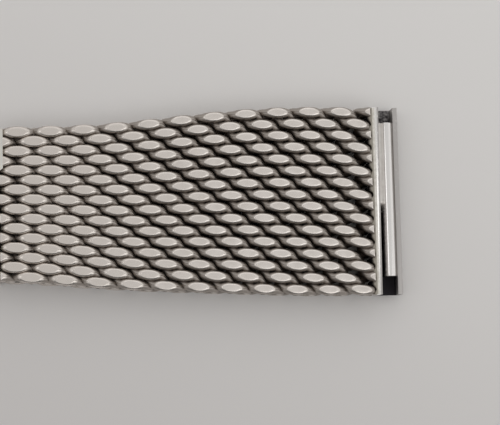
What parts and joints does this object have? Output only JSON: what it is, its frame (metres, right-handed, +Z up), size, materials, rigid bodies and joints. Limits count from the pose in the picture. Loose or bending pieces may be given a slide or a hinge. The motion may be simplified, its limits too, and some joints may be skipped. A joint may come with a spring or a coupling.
{
  "type": "woven wire watch bracelet",
  "caption": "Tapering woven wire watch bracelet with tubed lug ends for spring bars and a folding clasp that is adjusted by moving its own spring bar.",
  "frame": {"origin": "middle of the whole opened bracelet, on the surface that it lies on", "axes": "+X runs along the strap to the lug end of the short half, +Y across the strap, +Z up, out of the side that lies on the wrist"},
  "size_m": [0.1742, 0.02, 0.0034],
  "materials": {
    "mesh_wire": "ground wire, satin on the lapped faces, darker between the coils",
    "end_fitting": "cut and bent sheet, satin with solder stain",
    "polished_tube": "drawn and polished",
    "braze": "run-in solder, uneven and slightly warm",
    "brushed_cover": "brushed along the strap, with bright bevels",
    "blade": "satin sheet",
    "pin": "drawn pin, ground flush",
    "spring_steel": "spring steel"
  },
  "bodies": {
    "cover": {"clasp_cover": "brushed_cover", "fold_hinge_pin": "pin", "catch_clip": "spring_steel", "bar_barrel": "polished_tube", "bar_spring": "spring_steel"},
    "upper_blade": {"clasp_upper_blade": "blade", "middle_hinge_pin": "pin"},
    "lower_blade": {"clasp_lower_blade": "blade", "catch_stud": "spring_steel"},
    "short_clasp_end": {"short_hinge_plate": "end_fitting", "short_clasp_turns": "mesh_wire", "mesh_hinge_pin": "pin"},
    "short_link_10": {"short_mesh_10": "mesh_wire"},
    "short_link_9": {"short_mesh_9": "mesh_wire"},
    "short_link_8": {"short_mesh_8": "mesh_wire"},
    "short_link_7": {"short_mesh_7": "mesh_wire"},
    "short_link_6": {"short_mesh_6": "mesh_wire"},
    "short_link_5": {"short_mesh_5": "mesh_wire"},
    "short_link_4": {"short_mesh_4": "mesh_wire"},
    "short_link_3": {"short_mesh_3": "mesh_wire"},
    "short_link_2": {"short_mesh_2": "mesh_wire"},
    "short_link_1": {"short_mesh_1": "mesh_wire"},
    "short_lug_end": {"short_lug_turns": "mesh_wire", "short_end_channel": "end_fitting", "short_bar_tube": "polished_tube", "short_tube_braze": "braze"},
    "long_clasp_end": {"long_bar_fitting": "end_fitting", "long_clasp_turns": "mesh_wire"},
    "long_link_14": {"long_mesh_14": "mesh_wire"},
    "long_link_13": {"long_mesh_13": "mesh_wire"},
    "long_link_12": {"long_mesh_12": "mesh_wire"},
    "long_link_11": {"long_mesh_11": "mesh_wire"},
    "long_link_10": {"long_mesh_10": "mesh_wire"},
    "long_link_9": {"long_mesh_9": "mesh_wire"},
    "long_link_8": {"long_mesh_8": "mesh_wire"},
    "long_link_7": {"long_mesh_7": "mesh_wire"},
    "long_link_6": {"long_mesh_6": "mesh_wire"},
    "long_link_5": {"long_mesh_5": "mesh_wire"},
    "long_link_4": {"long_mesh_4": "mesh_wire"},
    "long_link_3": {"long_mesh_3": "mesh_wire"},
    "long_link_2": {"long_mesh_2": "mesh_wire"},
    "long_link_1": {"long_mesh_1": "mesh_wire"},
    "long_lug_end": {"long_lug_turns": "mesh_wire", "long_end_channel": "end_fitting", "long_bar_tube": "polished_tube", "long_tube_braze": "braze"},
    "tip_front": {"bar_tip_front": "polished_tube"},
    "tip_back": {"bar_tip_back": "polished_tube"}
  },
  "joints": [
    {"name": "clasp_fold", "type": "hinge", "parent": "cover", "child": "upper_blade", "pos_m": [-0.00084, 0, 0.0017], "axis": [0, -1, 0], "range_deg": [0, 180]},
    {"name": "middle_fold", "type": "hinge", "parent": "upper_blade", "child": "lower_blade", "pos_m": [0.02016, 0, 0.0011], "axis": [0, -1, 0], "range_deg": [-180, 0]},
    {"name": "short_hinge", "type": "hinge", "parent": "lower_blade", "child": "short_clasp_end", "pos_m": [0.04416, 0, 0.0017], "axis": [0, -1, 0], "range_deg": [-20, 30]},
    {"name": "short_flex_11", "type": "hinge", "parent": "short_clasp_end", "child": "short_link_10", "pos_m": [0.04825, 0, 0.0017], "axis": [0, -1, 0], "range_deg": [-8, 8]},
    {"name": "short_flex_10", "type": "hinge", "parent": "short_link_10", "child": "short_link_9", "pos_m": [0.05161, 0, 0.0017], "axis": [0, -1, 0], "range_deg": [-8, 8]},
    {"name": "short_flex_9", "type": "hinge", "parent": "short_link_9", "child": "short_link_8", "pos_m": [0.05497, 0, 0.0017], "axis": [0, -1, 0], "range_deg": [-8, 8]},
    {"name": "short_flex_8", "type": "hinge", "parent": "short_link_8", "child": "short_link_7", "pos_m": [0.05833, 0, 0.0017], "axis": [0, -1, 0], "range_deg": [-8, 8]},
    {"name": "short_flex_7", "type": "hinge", "parent": "short_link_7", "child": "short_link_6", "pos_m": [0.06169, 0, 0.0017], "axis": [0, -1, 0], "range_deg": [-8, 8]},
    {"name": "short_flex_6", "type": "hinge", "parent": "short_link_6", "child": "short_link_5", "pos_m": [0.06505, 0, 0.0017], "axis": [0, -1, 0], "range_deg": [-8, 8]},
    {"name": "short_flex_5", "type": "hinge", "parent": "short_link_5", "child": "short_link_4", "pos_m": [0.06841, 0, 0.0017], "axis": [0, -1, 0], "range_deg": [-8, 8]},
    {"name": "short_flex_4", "type": "hinge", "parent": "short_link_4", "child": "short_link_3", "pos_m": [0.07177, 0, 0.0017], "axis": [0, -1, 0], "range_deg": [-8, 8]},
    {"name": "short_flex_3", "type": "hinge", "parent": "short_link_3", "child": "short_link_2", "pos_m": [0.07513, 0, 0.0017], "axis": [0, -1, 0], "range_deg": [-8, 8]},
    {"name": "short_flex_2", "type": "hinge", "parent": "short_link_2", "child": "short_link_1", "pos_m": [0.07849, 0, 0.0017], "axis": [0, -1, 0], "range_deg": [-8, 8]},
    {"name": "short_flex_1", "type": "hinge", "parent": "short_link_1", "child": "short_lug_end", "pos_m": [0.08185, 0, 0.0017], "axis": [0, -1, 0], "range_deg": [-8, 8]},
    {"name": "long_hinge", "type": "hinge", "parent": "cover", "child": "long_clasp_end", "pos_m": [-0.02904, 0, 0.0017], "axis": [0, 1, 0], "range_deg": [-5, 40]},
    {"name": "long_flex_15", "type": "hinge", "parent": "long_clasp_end", "child": "long_link_14", "pos_m": [-0.03481, 0, 0.0017], "axis": [0, 1, 0], "range_deg": [-8, 8]},
    {"name": "long_flex_14", "type": "hinge", "parent": "long_link_14", "child": "long_link_13", "pos_m": [-0.03817, 0, 0.0017], "axis": [0, 1, 0], "range_deg": [-8, 8]},
    {"name": "long_flex_13", "type": "hinge", "parent": "long_link_13", "child": "long_link_12", "pos_m": [-0.04153, 0, 0.0017], "axis": [0, 1, 0], "range_deg": [-8, 8]},
    {"name": "long_flex_12", "type": "hinge", "parent": "long_link_12", "child": "long_link_11", "pos_m": [-0.04489, 0, 0.0017], "axis": [0, 1, 0], "range_deg": [-8, 8]},
    {"name": "long_flex_11", "type": "hinge", "parent": "long_link_11", "child": "long_link_10", "pos_m": [-0.04825, 0, 0.0017], "axis": [0, 1, 0], "range_deg": [-8, 8]},
    {"name": "long_flex_10", "type": "hinge", "parent": "long_link_10", "child": "long_link_9", "pos_m": [-0.05161, 0, 0.0017], "axis": [0, 1, 0], "range_deg": [-8, 8]},
    {"name": "long_flex_9", "type": "hinge", "parent": "long_link_9", "child": "long_link_8", "pos_m": [-0.05497, 0, 0.0017], "axis": [0, 1, 0], "range_deg": [-8, 8]},
    {"name": "long_flex_8", "type": "hinge", "parent": "long_link_8", "child": "long_link_7", "pos_m": [-0.05833, 0, 0.0017], "axis": [0, 1, 0], "range_deg": [-8, 8]},
    {"name": "long_flex_7", "type": "hinge", "parent": "long_link_7", "child": "long_link_6", "pos_m": [-0.06169, 0, 0.0017], "axis": [0, 1, 0], "range_deg": [-8, 8]},
    {"name": "long_flex_6", "type": "hinge", "parent": "long_link_6", "child": "long_link_5", "pos_m": [-0.06505, 0, 0.0017], "axis": [0, 1, 0], "range_deg": [-8, 8]},
    {"name": "long_flex_5", "type": "hinge", "parent": "long_link_5", "child": "long_link_4", "pos_m": [-0.06841, 0, 0.0017], "axis": [0, 1, 0], "range_deg": [-8, 8]},
    {"name": "long_flex_4", "type": "hinge", "parent": "long_link_4", "child": "long_link_3", "pos_m": [-0.07177, 0, 0.0017], "axis": [0, 1, 0], "range_deg": [-8, 8]},
    {"name": "long_flex_3", "type": "hinge", "parent": "long_link_3", "child": "long_link_2", "pos_m": [-0.07513, 0, 0.0017], "axis": [0, 1, 0], "range_deg": [-8, 8]},
    {"name": "long_flex_2", "type": "hinge", "parent": "long_link_2", "child": "long_link_1", "pos_m": [-0.07849, 0, 0.0017], "axis": [0, 1, 0], "range_deg": [-8, 8]},
    {"name": "long_flex_1", "type": "hinge", "parent": "long_link_1", "child": "long_lug_end", "pos_m": [-0.08185, 0, 0.0017], "axis": [0, 1, 0], "range_deg": [-8, 8]},
    {"name": "bar_tip_front", "type": "slide", "parent": "cover", "child": "tip_front", "axis": [0, 1, 0], "range_m": [0, 0.0009], "stiffness_N_per_m": 2000},
    {"name": "bar_tip_back", "type": "slide", "parent": "cover", "child": "tip_back", "axis": [0, -1, 0], "range_m": [0, 0.0009], "stiffness_N_per_m": 2000}
  ],
  "couplings": [
    {"joint": "middle_fold", "follows": "clasp_fold", "ratio": -1},
    {"joint": "short_flex_10", "follows": "short_flex_11", "ratio": 1},
    {"joint": "short_flex_9", "follows": "short_flex_11", "ratio": 1},
    {"joint": "short_flex_8", "follows": "short_flex_11", "ratio": 1},
    {"joint": "short_flex_7", "follows": "short_flex_11", "ratio": 1},
    {"joint": "short_flex_6", "follows": "short_flex_11", "ratio": 1},
    {"joint": "short_flex_5", "follows": "short_flex_11", "ratio": 1},
    {"joint": "short_flex_4", "follows": "short_flex_11", "ratio": 1},
    {"joint": "short_flex_3", "follows": "short_flex_11", "ratio": 1},
    {"joint": "short_flex_2", "follows": "short_flex_11", "ratio": 1},
    {"joint": "short_flex_1", "follows": "short_flex_11", "ratio": 1},
    {"joint": "long_flex_14", "follows": "long_flex_15", "ratio": 1},
    {"joint": "long_flex_13", "follows": "long_flex_15", "ratio": 1},
    {"joint": "long_flex_12", "follows": "long_flex_15", "ratio": 1},
    {"joint": "long_flex_11", "follows": "long_flex_15", "ratio": 1},
    {"joint": "long_flex_10", "follows": "long_flex_15", "ratio": 1},
    {"joint": "long_flex_9", "follows": "long_flex_15", "ratio": 1},
    {"joint": "long_flex_8", "follows": "long_flex_15", "ratio": 1},
    {"joint": "long_flex_7", "follows": "long_flex_15", "ratio": 1},
    {"joint": "long_flex_6", "follows": "long_flex_15", "ratio": 1},
    {"joint": "long_flex_5", "follows": "long_flex_15", "ratio": 1},
    {"joint": "long_flex_4", "follows": "long_flex_15", "ratio": 1},
    {"joint": "long_flex_3", "follows": "long_flex_15", "ratio": 1},
    {"joint": "long_flex_2", "follows": "long_flex_15", "ratio": 1},
    {"joint": "long_flex_1", "follows": "long_flex_15", "ratio": 1}
  ]
}
